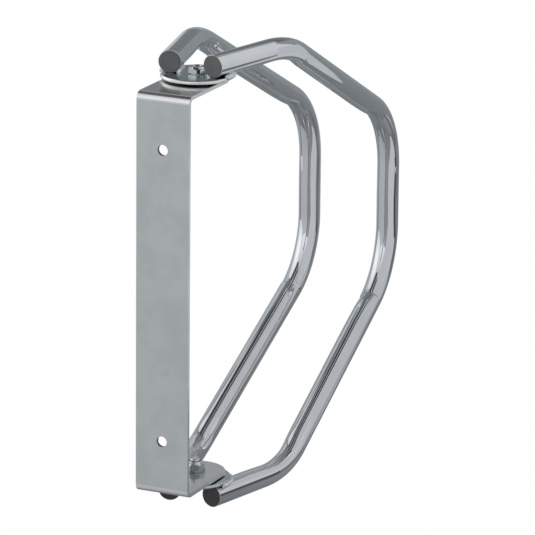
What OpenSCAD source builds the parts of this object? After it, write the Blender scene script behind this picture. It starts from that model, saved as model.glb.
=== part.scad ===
// Wall-mounted bike rack: a sheet steel bracket that carries two bent tube hoops on swivel discs.
// The origin is the middle of the bracket's wall face. The rack stands out from the wall towards -Y.
// Left is +X and right is -X, as seen from the wall.

/* [Wall bracket] */
// Width of the bracket across the wall
bracket_w = 44; // [36:1:56]
// Height of the bracket, measured over both flanges
bracket_h = 315; // [280:5:400]
// Thickness of the bracket's sheet steel
sheet_t = 3; // [2:0.5:5]
// Inside radius of the bracket's two bends
sheet_bend_r = 3; // [1:0.5:6]
// How much larger the radius of a flange tip is than half the bracket's width
tip_over = 1.5; // [0.5:0.5:4]
// Diameter of the two wall screw holes
screw_hole_d = 8.5; // [5:0.5:11]
// Distance of each wall screw hole from its end of the bracket
screw_inset = 43; // [25:1:80]

/* [Swivel] */
// Distance of the swivel axis from the wall
pivot_out = 58; // [50:1:80]
// Diameter of the two swivel discs
disc_d = 56; // [52:1:64]
// Thickness of the swivel discs
disc_t = 3; // [2:0.5:5]
// Thickness of the spacer washer between a flange and its disc
spacer_t = 1; // [0.5:0.5:3]
// Outside diameter of the spacer washers
spacer_d = 20; // [16:1:30]

/* [Hoops] */
// Outside diameter of the hoop tubes
tube_d = 18; // [15:1:20]
// Wall of the hoop tubes
tube_wall = 1.5; // [1:0.25:2.5]
// Clear gap between the two tube ends on a disc
end_gap = 18; // [17:1:24]
// How far the upper tube ends reach past the swivel axis towards the wall
end_past_top = 10; // [4:0.5:16]
// How far the lower tube ends reach past the swivel axis towards the wall
end_past_bottom = 7.5; // [4:0.5:16]
// Clear width of the wheel slot at the root bends
slot_root = 60; // [50:1:80]
// Clear width of the wheel slot at the front uprights
slot_front = 52; // [40:1:70]
// Distance of the root bends from the wall, on the tube's centre line
root_out = 136; // [125:1:160]
// Distance of the front uprights from the wall, on the tube's centre line
front_out = 343; // [300:1:400]
// Height of the upper front bends above the middle of the bracket
front_top = 66.5; // [50:0.5:85]
// Depth of the lower front bends below the middle of the bracket
front_bottom = 60.5; // [50:0.5:75]
// Bend radius of the root bends, on the centre line
root_bend_r = 88; // [50:1:120]
// Bend radius of the front bends, on the centre line
front_bend_r = 65; // [40:1:75]

/* [Welds] */
// Radius of the weld beads
bead_r = 2.3; // [1.5:0.1:3]
// Length of the straight bead on the inner side of each tube end
bead_len = 14; // [6:1:20]
// Arc of the bead along a disc's rim on the outer side of the tube, in degrees
rim_bead_outer = 40; // [20:1:50]
// Arc of the same bead on the inner side of the tube, in degrees
rim_bead_inner = 7; // [4:1:15]

/* [End plugs] */
// Thickness of a plug's head
plug_head_t = 0.6; // [0.6:0.1:4]
// Radius of the rounded edge of a plug's head
plug_edge_r = 0.4; // [0.2:0.1:0.6]
// Length of a plug's shank in the tube
plug_shank_len = 12; // [6:1:20]
// Depth of the ribs round a plug's shank
plug_rib = 0.8; // [0.3:0.1:1.5]

/* [Fasteners] */
// Thread diameter of the pivot bolts
bolt_d = 8; // [6:1:10]
// Width across flats of the bolt heads and lock nuts
hex_af = 13; // [12:1:17]
// Height of a bolt head
head_h = 5.3; // [4:0.1:7]
// Height of a lock nut with its collar
nut_h = 6.5; // [5.5:0.1:10]
// Height of the hexagon of a lock nut, without its collar
nut_hex_h = 4.4; // [3:0.1:5]
// Length of bolt that stands out of a lock nut
thread_out = 1.5; // [0.5:0.5:6]
// Outside diameter of the washer under a lock nut
washer_d = 16; // [14:1:20]
// Thickness of the washer under a lock nut
washer_t = 1.6; // [1:0.1:2.5]
// Turn of the bolt heads from a corner towards +X
head_turn = -9; // [-30:1:30]
// Turn of the lock nuts from a corner towards +X
nut_turn = 25; // [-30:1:30]

/* [Fits] */
// Radial clearance of a disc's bore on its bolt
run_fit = 0.08; // [0.02:0.01:0.1]
// Radial clearance of the bolt in the bracket and the washers
bolt_hole_clear = 0.25; // [0.1:0.05:0.5]
// Radial clearance of pieces that are pressed or screwed together
snug = 0.05; // [0.01:0.01:0.1]
// Gap above and below a disc, between spacer and bolt head
swivel_play = 0.1; // [0.05:0.05:0.3]

/* [Hidden] */

zinc = [0.66, 0.68, 0.68];
bright_zinc = [0.78, 0.79, 0.80];
nylon = [0.90, 0.89, 0.84];
plug_top_grey = [0.24, 0.24, 0.24];
plug_bottom_grey = [0.13, 0.13, 0.13];

right = -1;
left = 1;

// Heights at the upper end. The lower end of the rack is its mirror image.
half_h = bracket_h / 2;
tube_r = tube_d / 2;
disc_z0 = half_h + spacer_t + swivel_play;
disc_z1 = disc_z0 + disc_t;
head_z0 = disc_z1 + swivel_play;
end_z = disc_z1 + tube_r;
washer_z0 = half_h - sheet_t - washer_t;
nut_z0 = washer_z0 - nut_h;
bolt_end_z = nut_z0 - thread_out;

// Plan of the bracket
tip_r = bracket_w / 2 + tip_over;
pivot_y = -pivot_out;
flange_out = pivot_out + tip_r;

// Centre lines of the hoops
end_x = end_gap / 2 + tube_r;
root_x = slot_root / 2 + tube_r;
front_x = slot_front / 2 + tube_r;
bend_radii = [root_bend_r, front_bend_r, front_bend_r, root_bend_r];
wall_draw = 0.01;
bend_lap = 0.5;

// Weld beads sit in the notch between tube and disc
bead_side = tube_r * 2 / 3;
bead_rise = 1.2;
bead_start = 1 + bead_r;
rim_bead_r = disc_d / 2 - 0.4;

// Hardware details
hex_corner_r = hex_af / 2 / cos(30);
hex_chamfer = 0.7;
collar_r = hex_af / 2 - 0.5;
collar_wall = 0.7;
ring_h = 1.6;
rib_count = 3;
rib_w = 1.2;
core_r = tube_r - tube_wall - snug - plug_rib;
thread_chamfer = 1;
cut = 1;
$fn = 96;

function unit(v) = v / norm(v);
function below(p) = [p[0], p[1], -p[2]];

// Corner points of the centre lines at the upper end. A tube end reaches past the swivel axis.
function end_point(side, past) = [side * end_x, pivot_y + past, end_z];
function root_point(side) = [side * root_x, -root_out, end_z];
function hoop_points(side) = [
    end_point(side, end_past_top),
    root_point(side),
    [side * front_x, -front_out, front_top],
    [side * front_x, -front_out, -front_bottom],
    below(root_point(side)),
    below(end_point(side, end_past_bottom))
];

// Angle round the pivot, from the side towards the front, at which a centre line crosses the disc's rim
function rim_angle(past) =
    let (
        start = [end_x, past],
        d = unit([root_x - end_x, pivot_out - past - root_out]),
        along = sqrt(pow(start * d, 2) - start * start + pow(rim_bead_r, 2)) - start * d,
        crossing = start + d * along
    )
    atan2(-crossing[1], crossing[0]);

// Rotation angles that turn the X, Y and Z axes to three given unit vectors
function turns(x, y, z) = [
    atan2(y[2], z[2]),
    -asin(x[2]),
    atan2(x[1], x[0])
];

// Length that a bend takes off each of the two straights that meet at point i
function setback(points, i) =
    let (u = unit(points[i] - points[i - 1]), v = unit(points[i + 1] - points[i]))
    bend_radii[i - 1] * tan(acos(u * v) / 2);

module at_bottom() {
    mirror([0, 0, 1]) children();
}

module at_pivot() {
    translate([0, pivot_y, 0]) children();
}

// Puts its children at point a, with their Z axis towards point b
module aim(a, b) {
    d = unit(b - a);
    translate(a) rotate([0, acos(d[2]), atan2(d[1], d[0])]) children();
}

module ring(outer_r, inner_r, h) {
    difference() {
        cylinder(r = outer_r, h = h);
        translate([0, 0, -cut]) cylinder(r = inner_r, h = h + 2 * cut);
    }
}

// A straight run of tube from point a to point b
module straight(a, b) {
    aim(a, b) ring(tube_r, tube_r - tube_wall, norm(b - a));
}

// A bend of radius r round the corner at point p, from direction u to direction v.
// Bending draws the wall a little thinner, so a bend's wall lies inside the straights that lap over it.
module bend(p, u, v, r) {
    angle = acos(u * v);
    inward = unit(v - u * (u * v));
    centre = p - u * r * tan(angle / 2) + inward * r;
    translate(centre) rotate(turns(-inward, u, cross(-inward, u)))
        rotate_extrude(angle = angle) translate([r, 0]) difference() {
            circle(r = tube_r - wall_draw);
            circle(r = tube_r - tube_wall + wall_draw);
        }
}

module hoop(side) {
    p = hoop_points(side);
    last = len(p) - 1;
    color(bright_zinc) union() {
        for (i = [0 : last - 1]) {
            d = unit(p[i + 1] - p[i]);
            a = i == 0 ? p[i] : p[i] + d * (setback(p, i) - bend_lap);
            b = i == last - 1 ? p[i + 1] : p[i + 1] - d * (setback(p, i + 1) - bend_lap);
            straight(a, b);
        }
        for (i = [1 : last - 1])
            bend(p[i], unit(p[i] - p[i - 1]), unit(p[i + 1] - p[i]), bend_radii[i - 1]);
    }
}

// Side view of the bracket: a channel with two rounded corners
module channel_outline() {
    outer_r = sheet_bend_r + sheet_t;
    bend_z = half_h - outer_r;
    difference() {
        union() {
            translate([outer_r, -half_h]) square([flange_out - outer_r, bracket_h]);
            translate([0, -bend_z]) square([flange_out, 2 * bend_z]);
            for (z = [-bend_z, bend_z]) translate([outer_r, z]) circle(r = outer_r);
        }
        translate([outer_r, sheet_t - half_h]) square([flange_out, bracket_h - 2 * sheet_t]);
        translate([sheet_t, -bend_z]) square([flange_out, 2 * bend_z]);
        for (z = [-bend_z, bend_z]) translate([outer_r, z]) circle(r = sheet_bend_r);
    }
}

// Plan of the flanges: straight sides that end in an arc round the pivot
module flange_plan() {
    corner_out = sqrt(pow(tip_r, 2) - pow(bracket_w / 2, 2));
    translate([-bracket_w / 2, pivot_y - corner_out]) square([bracket_w, pivot_out + corner_out]);
    intersection() {
        translate([0, pivot_y]) circle(r = tip_r);
        translate([-bracket_w / 2, pivot_y - tip_r]) square([bracket_w, tip_r]);
    }
}

module wall_bracket() {
    color(zinc) difference() {
        intersection() {
            translate([bracket_w / 2, 0, 0]) rotate([90, 0, -90])
                linear_extrude(bracket_w) channel_outline();
            translate([0, 0, -half_h - cut]) linear_extrude(bracket_h + 2 * cut) flange_plan();
        }
        for (z = [screw_inset - half_h, half_h - screw_inset])
            translate([0, cut, z]) rotate([90, 0, 0]) cylinder(d = screw_hole_d, h = sheet_t + 2 * cut);
        at_pivot() translate([0, 0, -half_h - cut])
            cylinder(r = bolt_d / 2 + bolt_hole_clear, h = bracket_h + 2 * cut);
    }
}

module disc() {
    color(zinc) at_pivot() translate([0, 0, disc_z0]) ring(disc_d / 2, bolt_d / 2 + run_fit, disc_t);
}

module spacer() {
    color(zinc) at_pivot() translate([0, 0, half_h])
        ring(spacer_d / 2, bolt_d / 2 + bolt_hole_clear, spacer_t);
}

module nut_washer() {
    color(zinc) at_pivot() translate([0, 0, washer_z0])
        ring(washer_d / 2, bolt_d / 2 + bolt_hole_clear, washer_t);
}

// A hexagon from z = 0 up, with its upper corners chamfered
module hexagon(h) {
    intersection() {
        cylinder(r = hex_corner_r, h = h, $fn = 6);
        rotate_extrude() polygon([
            [0, 0],
            [hex_corner_r, 0],
            [hex_corner_r, h - hex_chamfer],
            [hex_af / 2 - 0.2, h],
            [0, h]
        ]);
    }
}

// The bolt goes in from outside, through disc, spacer, flange, washer and nut
module bolt() {
    color(bright_zinc) at_pivot() {
        translate([0, 0, head_z0]) rotate(head_turn) hexagon(head_h);
        translate([0, 0, bolt_end_z]) rotate_extrude() polygon([
            [0, 0],
            [bolt_d / 2 - thread_chamfer, 0],
            [bolt_d / 2, thread_chamfer],
            [bolt_d / 2, head_z0 - bolt_end_z],
            [0, head_z0 - bolt_end_z]
        ]);
    }
}

// The nut's collar points away from the flange and holds the nylon ring
module lock_nut() {
    color(bright_zinc) at_pivot() translate([0, 0, washer_z0]) mirror([0, 0, 1]) difference() {
        union() {
            rotate(nut_turn) hexagon(nut_hex_h);
            cylinder(r = collar_r, h = nut_h);
        }
        translate([0, 0, -cut]) cylinder(r = bolt_d / 2 + snug, h = nut_h + 2 * cut);
        translate([0, 0, nut_h - ring_h]) cylinder(r = collar_r - collar_wall, h = ring_h + cut);
    }
}

module nylon_ring() {
    color(nylon) at_pivot() translate([0, 0, nut_z0])
        ring(collar_r - collar_wall - snug, bolt_d / 2 + snug, ring_h);
}

// A plug closes the tube end: its head covers the tube's wall and its ribs grip the bore
module plug(side, past, grey) {
    color(grey) aim(end_point(side, past), root_point(side)) rotate_extrude() {
        intersection() {
            union() {
                translate([0, -plug_head_t]) square([tube_r - plug_edge_r, plug_head_t]);
                translate([0, plug_edge_r - plug_head_t]) square([tube_r, plug_head_t]);
                translate([tube_r - plug_edge_r, plug_edge_r - plug_head_t]) circle(r = plug_edge_r);
            }
            translate([0, -plug_head_t]) square([tube_r, plug_head_t]);
        }
        square([core_r, plug_shank_len]);
        for (i = [1 : rib_count])
            translate([0, plug_shank_len * i / (rib_count + 1) - rib_w / 2])
                square([core_r + plug_rib, rib_w]);
    }
}

// Puts its children at a tube end, X along the tube, Y to the tube's inner side, Z = 0 on the disc
module at_tube_end(side, past) {
    a = end_point(side, past);
    d = root_point(side) - a;
    translate([a[0], a[1], disc_z1]) rotate(atan2(d[1], d[0]))
        mirror([0, side < 0 ? 1 : 0]) children();
}

// One bead runs along the tube's inner side, the other along the disc's rim under the tube
module welds(side, past) {
    a = end_point(side, past);
    b = root_point(side);
    color(zinc) difference() {
        union() {
            intersection() {
                at_tube_end(side, past) translate([bead_start, -bead_side, bead_rise]) {
                    rotate([0, 90, 0]) cylinder(r = bead_r, h = bead_len);
                    sphere(r = bead_r);
                    translate([bead_len, 0, 0]) sphere(r = bead_r);
                }
                translate([-disc_d, pivot_y - disc_d, disc_z1]) cube([2 * disc_d, 2 * disc_d, tube_r]);
            }
            at_pivot() translate([0, 0, disc_z1]) mirror([side < 0 ? 1 : 0, 0, 0])
                rotate(-rim_angle(past) - rim_bead_inner)
                rotate_extrude(angle = rim_bead_outer + rim_bead_inner) difference() {
                    translate([rim_bead_r, 0]) circle(r = bead_r);
                    translate([0, -disc_t]) square([disc_d / 2, disc_t]);
                }
        }
        aim(a, b) cylinder(r = tube_r + snug, h = norm(b - a));
    }
}

wall_bracket();
disc();  // top_disc
at_bottom() disc();  // bottom_disc
hoop(left);  // left_hoop
hoop(right);  // right_hoop
plug(left, end_past_top, plug_top_grey);  // left_top_plug
plug(right, end_past_top, plug_top_grey);  // right_top_plug
at_bottom() plug(left, end_past_bottom, plug_bottom_grey);  // left_bottom_plug
at_bottom() plug(right, end_past_bottom, plug_bottom_grey);  // right_bottom_plug
welds(left, end_past_top);  // left_top_welds
welds(right, end_past_top);  // right_top_welds
at_bottom() welds(left, end_past_bottom);  // left_bottom_welds
at_bottom() welds(right, end_past_bottom);  // right_bottom_welds
bolt();  // top_bolt
at_bottom() bolt();  // bottom_bolt
lock_nut();  // top_lock_nut
at_bottom() lock_nut();  // bottom_lock_nut
nylon_ring();  // top_nylon_ring
at_bottom() nylon_ring();  // bottom_nylon_ring
nut_washer();  // top_nut_washer
at_bottom() nut_washer();  // bottom_nut_washer
spacer();  // top_spacer
at_bottom() spacer();  // bottom_spacer
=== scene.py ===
# Looks of a wall-mounted bike rack: bright zinc tube hoops that swivel on a satin zinc wall bracket.
# All sizes are in metres, in the frame of the solid model: wall face at Y = 0, rack out towards -Y.
import math
import random

import bmesh
import bpy
from mathutils import Matrix, Quaternion, Vector
from mathutils.kdtree import KDTree


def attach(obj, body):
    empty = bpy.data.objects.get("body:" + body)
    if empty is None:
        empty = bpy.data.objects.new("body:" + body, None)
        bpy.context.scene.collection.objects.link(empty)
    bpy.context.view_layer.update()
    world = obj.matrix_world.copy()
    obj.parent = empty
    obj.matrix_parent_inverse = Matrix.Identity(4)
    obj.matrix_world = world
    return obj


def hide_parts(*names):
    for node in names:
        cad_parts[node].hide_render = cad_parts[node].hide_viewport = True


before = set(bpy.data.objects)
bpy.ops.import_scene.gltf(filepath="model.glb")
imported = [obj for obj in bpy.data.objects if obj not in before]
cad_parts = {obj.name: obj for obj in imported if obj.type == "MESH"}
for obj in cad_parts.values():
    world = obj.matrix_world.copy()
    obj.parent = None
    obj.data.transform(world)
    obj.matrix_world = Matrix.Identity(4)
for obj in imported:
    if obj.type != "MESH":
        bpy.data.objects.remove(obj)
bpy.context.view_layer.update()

random.seed(7)

# Two places closer than this count as one
CLOSE = 0.00001
# Points closer than this are merged
MERGE = 0.000002
# A face this close to a screw hole's wall belongs to it
WALL_REACH = 0.00005
# A flat face looks at least this squarely along its axis
FLAT = 0.999
# Clearance between pieces that are screwed or pressed together
SNUG = 0.00005
# Width of the border round flat faces
BORDER = 0.0008
LEFT_TO_RIGHT = (-1, 1, 1)
UPSIDE_DOWN = (1, 1, -1)

# Wall bracket
BRACKET_W = 0.044
BRACKET_HALF_H = 0.1575
SHEET_T = 0.003
SHEET_OUTER_R = 0.006
SHEET_EDGE = 0.0004
SHEET_BEND_STEPS = 12
SCREW_HOLE_R = 0.00425
SCREW_HOLE_Z = 0.1145
SCREW_DRILL = 0.01
TIP_R = 0.0235
TIP_STEPS = 16
PIVOT_Y = -0.058
PIVOT_HOLE_R = 0.00425
PIVOT_DRILL = 0.4
WEB_FLAT_Z = 0.150
FLANGE_FLAT_Y = -0.010

# Swivel discs and what stacks on the pivot, heights at the upper end
SPACER_Z = (0.1575, 0.1585)
DISC_Z = (0.1586, 0.1616)
HEAD_Z = (0.1617, 0.1670)
WASHER_Z = (0.1529, 0.1545)
NUT_Z = (0.1464, 0.1529)
NUT_HEX_H = 0.0044
RING_H = 0.0016
BOLT_END_Z = 0.1449
RING_SIDES = 96
SPACER_R = 0.010
SPACER_EDGE = 0.00015
DISC_R = 0.028
DISC_BORE_R = 0.00408
DISC_EDGE = 0.0013
WASHER_R = 0.008
WASHER_EDGE = 0.00025
BOLT_R = 0.004
SHANK_LAP = 0.001
SHANK_EDGE = 0.0009
HEX_AF = 0.013
HEX_EDGE = 0.0002

# Bolt heads: washer face, turned corners and dish
FACE_H = 0.0005
FACE_R = 0.0060
FACE_LAP = 0.0004
HEAD_TOP_R = 0.0054
HEAD_CORNER_H = 0.0019
HEAD_EDGE = 0.00012
HEAD_TURN = -9
DISH_LOW_R = 0.0032
DISH_HIGH_R = 0.0047
DISH_H = 0.0014
DISH_RISE = 0.0001

# Lock nuts: turned corners, collar and the nylon ring's seat
NUT_TOP_R = HEX_AF / 2 - 0.0002
NUT_CORNER_H = 0.0008
NUT_EDGE = 0.0001
NUT_TURN = 25
NUT_DRILL = 0.02
COLLAR_R = 0.006
COLLAR_START = 0.0004
COLLAR_EDGE = 0.0006
COLLAR_BORE_R = 0.0053
SEAT_DRILL = 0.004

# Hoops
TUBE_R = 0.009
BORE_R = 0.0075
BORE_DEPTH = 0.014
TUBE_END_EDGE = 0.0005
TUBE_SIDES = 72
END_X = 0.018
END_Y_TOP = -0.048
END_Y_BOTTOM = -0.0505
END_Z = 0.1706
ROOT_X = 0.039
ROOT_Y = -0.136
FRONT_X = 0.035
FRONT_Y = -0.343
FRONT_TOP_Z = 0.0665
FRONT_BOTTOM_Z = -0.0605
BEND_RADII = (0.088, 0.065, 0.065, 0.088)
BEND_STEPS = 56
# Steps along a straight shorten over this length towards each of its ends
FINE_LENGTH = 0.05
FINE_STEPS = 24
STEP_GROWTH = 1.5
# How far apart the points of the centre line are
LINE_STEP = 0.001

# Marks of bending, measured in half bends from a bend's middle. For each bend: the way along the tube to
# its sloping straight, where the flat starts to end on that side, where it has ended, the share of it that
# fades on from there, where the crease is, and whether there is one
ROOT_MARK = (0.4, 1.5, 0, 0.3, 0)
FRONT_MARK = (0.82, 1.0, 0.5, 0.98, 1)
BEND_MARKS = ((1, *ROOT_MARK), (-1, *FRONT_MARK), (1, *FRONT_MARK), (-1, *ROOT_MARK))
# On a bend's other side the flat fades from the first of these to the second
FLAT_FADE = (0.3, 2.1)
MARKS_END = 2.2
FLAT_DEPTH = 0.0009
CREASE_DEPTH = 0.0008
# A crease is a wide hollow with a narrow one in it: the share and the width of each
CREASE_PARTS = ((0.80, 0.24), (0.20, 0.06))

# End plugs
PLUG_HEAD_T = 0.0006
PLUG_HEAD_R = 0.0086
PLUG_EDGE = 0.00038
PLUG_SHANK_R = 0.00665
PLUG_SHANK_LEN = 0.012
RIBS = 3
RIB_W = 0.0012
RIB_H = 0.00076
# Width and depth of the head's flat rim, of the slope inside it and of the dish
PLUG_FACE = ((0.0012, 0), (0.0006, -0.00012), (0.0050, -0.00003))

# Welds: the straight bead by its place on the tube's inner side, the rim bead by its angles in degrees
BEAD_R = 0.0024
STRAIGHT_START = 0.0033
STRAIGHT_LEN = 0.014
STRAIGHT_IN = 0.0060
STRAIGHT_UP = 0.0010
STRAIGHT_RIPPLES = 14
RIM_BEAD_R = 0.0276
RIM_INNER = 7
RIM_ARC = 47
RIM_RIPPLES = 20
# Ripples differ a little in size and place, lean back along the bead, and are melted into one
RIPPLE_SIZES = (-0.06, 0.05)
RIPPLE_DRIFT = 0.0001
RIPPLE_LEAN = -18
RIPPLE_SHAPE = (0.52, 1, 0.96)
MELT_GRAIN = 0.00022


# Shaping

def clear_selection():
    if bpy.context.mode != 'OBJECT':
        bpy.ops.object.mode_set(mode='OBJECT')
    bpy.ops.object.select_all(action='DESELECT')


def select_only(piece):
    clear_selection()
    bpy.context.view_layer.objects.active = piece
    piece.select_set(True)


def take(name):
    """The object just added, named, with its place moved into its mesh."""
    piece = bpy.context.active_object
    piece.name = name
    piece.data.name = name
    bpy.ops.object.transform_apply(location=True, rotation=True, scale=True)
    return piece


def cylinder(name, radius, depth, middle, sides, turned=(0, 0, 0)):
    clear_selection()
    bpy.ops.mesh.primitive_cylinder_add(
        vertices=sides, radius=radius, depth=depth, location=middle, rotation=turned)
    return take(name)


def cone(name, low_r, high_r, depth, middle_z, sides):
    """A cone with its tip cut off, round the pivot."""
    clear_selection()
    bpy.ops.mesh.primitive_cone_add(
        vertices=sides, radius1=low_r, radius2=high_r, depth=depth, location=(0, PIVOT_Y, middle_z))
    return take(name)


def start_edit(piece, kind='FACE'):
    select_only(piece)
    bpy.ops.object.mode_set(mode='EDIT')
    bpy.ops.mesh.select_mode(type=kind)
    bpy.ops.mesh.select_all(action='DESELECT')


def end_edit():
    bpy.ops.object.mode_set(mode='OBJECT')


def pick_faces(piece, wanted):
    shape = bmesh.from_edit_mesh(piece.data)
    for face in shape.faces:
        face.select_set(bool(wanted(face.calc_center_median(), face.normal)))
    bmesh.update_edit_mesh(piece.data)


def pick_edges(piece, wanted):
    shape = bmesh.from_edit_mesh(piece.data)
    for edge in shape.edges:
        a, b = edge.verts
        edge.select_set(bool(wanted(a.co, b.co)))
    bmesh.update_edit_mesh(piece.data)


def push(vector):
    """Extrudes what is selected and moves it."""
    bpy.ops.mesh.extrude_region_move(TRANSFORM_OT_translate={"value": tuple(vector)})


def merge_and_face_out(piece):
    start_edit(piece, 'VERT')
    bpy.ops.mesh.select_all(action='SELECT')
    bpy.ops.mesh.remove_doubles(threshold=MERGE)
    bpy.ops.mesh.normals_make_consistent(inside=False)
    end_edit()


def apply_modifiers(piece):
    select_only(piece)
    for modifier in list(piece.modifiers):
        bpy.ops.object.modifier_apply(modifier=modifier.name)


def smooth(piece, degrees=32):
    select_only(piece)
    bpy.ops.object.shade_smooth_by_angle(angle=math.radians(degrees))


def boolean(piece, cutter, operation):
    modifier = piece.modifiers.new(name=operation.lower(), type='BOOLEAN')
    modifier.object = cutter
    modifier.operation = operation
    modifier.solver = 'EXACT'
    apply_modifiers(piece)
    bpy.data.objects.remove(cutter)


def round_edges(piece, width, degrees=30, segments=2):
    bevel = piece.modifiers.new(name="rounded edges", type='BEVEL')
    bevel.limit_method = 'ANGLE'
    bevel.angle_limit = math.radians(degrees)
    bevel.width = width
    bevel.segments = segments
    bevel.use_clamp_overlap = True
    bevel.face_strength_mode = 'FSTR_AFFECTED'
    apply_modifiers(piece)


def bevel_edges(piece, wanted, width, segments):
    """Bevels the edges that wanted picks by their two ends."""
    start_edit(piece, 'EDGE')
    pick_edges(piece, wanted)
    bpy.ops.mesh.bevel(offset=width, segments=segments, affect='EDGES')
    end_edit()


def even_normals(piece):
    """Flat faces keep flat shading beside their rounded edges."""
    weighted = piece.modifiers.new(name="flat faces", type='WEIGHTED_NORMAL')
    weighted.keep_sharp = True
    weighted.use_face_influence = True
    weighted.weight = 80
    apply_modifiers(piece)


def border_flats(piece, wanted, width):
    """Insets the flat faces by a narrow border, so that wear on an edge stays near that edge."""
    start_edit(piece)
    pick_faces(piece, wanted)
    bpy.ops.mesh.inset(thickness=width, depth=0, use_boundary=True, use_even_offset=True)
    end_edit()


def mirrored(piece, name, flip):
    """A mirrored copy with its own mesh."""
    select_only(piece)
    bpy.ops.object.duplicate(linked=False)
    twin = bpy.context.active_object
    twin.name = name
    twin.data.name = name
    twin.scale = flip
    bpy.ops.object.transform_apply(location=False, rotation=False, scale=True)
    start_edit(twin)
    bpy.ops.mesh.select_all(action='SELECT')
    bpy.ops.mesh.normals_make_consistent(inside=False)
    end_edit()
    return twin


def joined(pieces):
    """All the pieces as one object, which is the first of them."""
    clear_selection()
    for piece in pieces:
        piece.select_set(True)
    bpy.context.view_layer.objects.active = pieces[0]
    bpy.ops.object.join()
    return pieces[0]


def fit_out(piece, body, material, stands_for):
    """Gives a finished piece its material and its body, and hides the solid that it stands for."""
    piece.data.materials.clear()
    piece.data.materials.append(material)
    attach(piece, body)
    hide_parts(stands_for)


def mark_faces(piece, name, wanted):
    """Marks the faces that wanted picks, in an attribute that a material reads."""
    shares = [1.0 if wanted(face.center, face.normal) else 0.0 for face in piece.data.polygons]
    marked = piece.data.attributes.new(name, 'FLOAT', 'FACE')
    marked.data.foreach_set("value", shares)


def weaken_painted_rim_mark(piece, share):
    """Marks the piece's rim less strongly, which weakens what its material paints there: a highlight on a
    disc, a shade on a washer.
    """
    for face in piece.data.attributes["rim"].data:
        face.value *= share


def turned_ring(name, inner_r, outer_r, low, high, edge, segments=3):
    """A flat ring round the pivot: its section is a plane with rounded corners, spun once round."""
    clear_selection()
    middle = ((inner_r + outer_r) / 2, PIVOT_Y, (low + high) / 2)
    bpy.ops.mesh.primitive_plane_add(size=1, location=middle, rotation=(math.radians(90), 0, 0))
    piece = bpy.context.active_object
    piece.scale = (outer_r - inner_r, high - low, 1)
    piece = take(name)
    start_edit(piece, 'VERT')
    bpy.ops.mesh.select_all(action='SELECT')
    bpy.ops.mesh.bevel(offset=edge, segments=segments, affect='VERTICES')
    bpy.ops.mesh.select_all(action='SELECT')
    bpy.ops.mesh.delete(type='ONLY_FACE')
    bpy.ops.mesh.select_all(action='SELECT')
    bpy.ops.mesh.spin(steps=RING_SIDES, angle=math.radians(360), center=(0, PIVOT_Y, 0), axis=(0, 0, 1))
    end_edit()
    merge_and_face_out(piece)
    border = min(BORDER, (outer_r - inner_r) / 6)
    for end in (1, -1):
        border_flats(piece, lambda place, normal: normal.z * end > FLAT, border)
    smooth(piece)
    pivot = Vector((0, PIVOT_Y))
    # The rim mark is painted light: the disc material paints a highlight on it, the washer material, which
    # the spacers share, a shade.
    mark_faces(piece, "rim", lambda place, normal:
               abs(normal.z) < 0.97 and (place.xy - pivot).length > inner_r + edge)
    return piece


# Wall bracket

def make_bracket():
    """A strip of sheet: a web, a bend spun at each end, and flanges drawn out to their round tips."""
    clear_selection()
    bpy.ops.mesh.primitive_cube_add(size=1, location=(0, -SHEET_T / 2, 0))
    piece = bpy.context.active_object
    bend_z = BRACKET_HALF_H - SHEET_OUTER_R
    piece.scale = (BRACKET_W, SHEET_T, 2 * bend_z)
    piece = take("bracket_channel")
    for end in (1, -1):
        start_edit(piece)
        pick_faces(piece, lambda place, normal: normal.z * end > 0.9 and place.z * end > bend_z - CLOSE
                   and place.y > -SHEET_T)
        bpy.ops.mesh.delete(type='ONLY_FACE')
        bpy.ops.mesh.select_mode(type='EDGE')
        pick_edges(piece, lambda a, b: a.z * end > bend_z - CLOSE and b.z * end > bend_z - CLOSE)
        bpy.ops.mesh.spin(steps=SHEET_BEND_STEPS, angle=math.radians(-90 * end), axis=(1, 0, 0),
                          center=(0, -SHEET_OUTER_R, bend_z * end))
        flange_end = PIVOT_Y - math.sqrt(TIP_R ** 2 - (BRACKET_W / 2) ** 2)
        push((0, flange_end + SHEET_OUTER_R, 0))
        widest = math.asin(BRACKET_W / 2 / TIP_R)
        for step in range(TIP_STEPS):
            angle = widest * (1 - step / TIP_STEPS)
            after = widest * (1 - (step + 1) / TIP_STEPS)
            forward = TIP_R * (math.cos(angle) - math.cos(after))
            narrower = max(math.sin(after) / math.sin(angle), 0.000001)
            push((0, forward, 0))
            bpy.ops.transform.resize(value=(narrower, 1, 1), center_override=(0, 0, 0))
        end_edit()
    merge_and_face_out(piece)
    for z in (SCREW_HOLE_Z, -SCREW_HOLE_Z):
        drill = cylinder("screw_hole", SCREW_HOLE_R, SCREW_DRILL, (0, -SHEET_T / 2, z), 48,
                         (math.radians(90), 0, 0))
        boolean(piece, drill, 'DIFFERENCE')
    drill = cylinder("pivot_hole", PIVOT_HOLE_R, PIVOT_DRILL, (0, PIVOT_Y, 0), 48)
    boolean(piece, drill, 'DIFFERENCE')
    round_edges(piece, SHEET_EDGE, 40, 3)
    merge_and_face_out(piece)
    border_flats(piece, lambda place, normal: abs(normal.y) > FLAT and abs(place.z) < WEB_FLAT_Z, BORDER)
    for end in (1, -1):
        border_flats(piece, lambda place, normal: normal.z * end > FLAT and place.y < FLANGE_FLAT_Y, BORDER)
    smooth(piece, 30)
    even_normals(piece)

    def from_screw_hole(place):
        return min((place - Vector((0, place.y, z))).length for z in (SCREW_HOLE_Z, -SCREW_HOLE_Z))

    # The screw holes' walls get a painted shade, as dark as a shadowed hole.
    mark_faces(piece, "painted_shade_hole_wall", lambda place, normal:
               from_screw_hole(place) < SCREW_HOLE_R + WALL_REACH and abs(normal.y) < 0.3)
    # The outer side of the bends gets a painted highlight, lighter where the bend shines.
    mark_faces(piece, "bright_edge", lambda place, normal:
               normal.y > 0.05 and abs(normal.z) > 0.05 and abs(place.z) > bend_z)
    return piece


# Hoops

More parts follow.
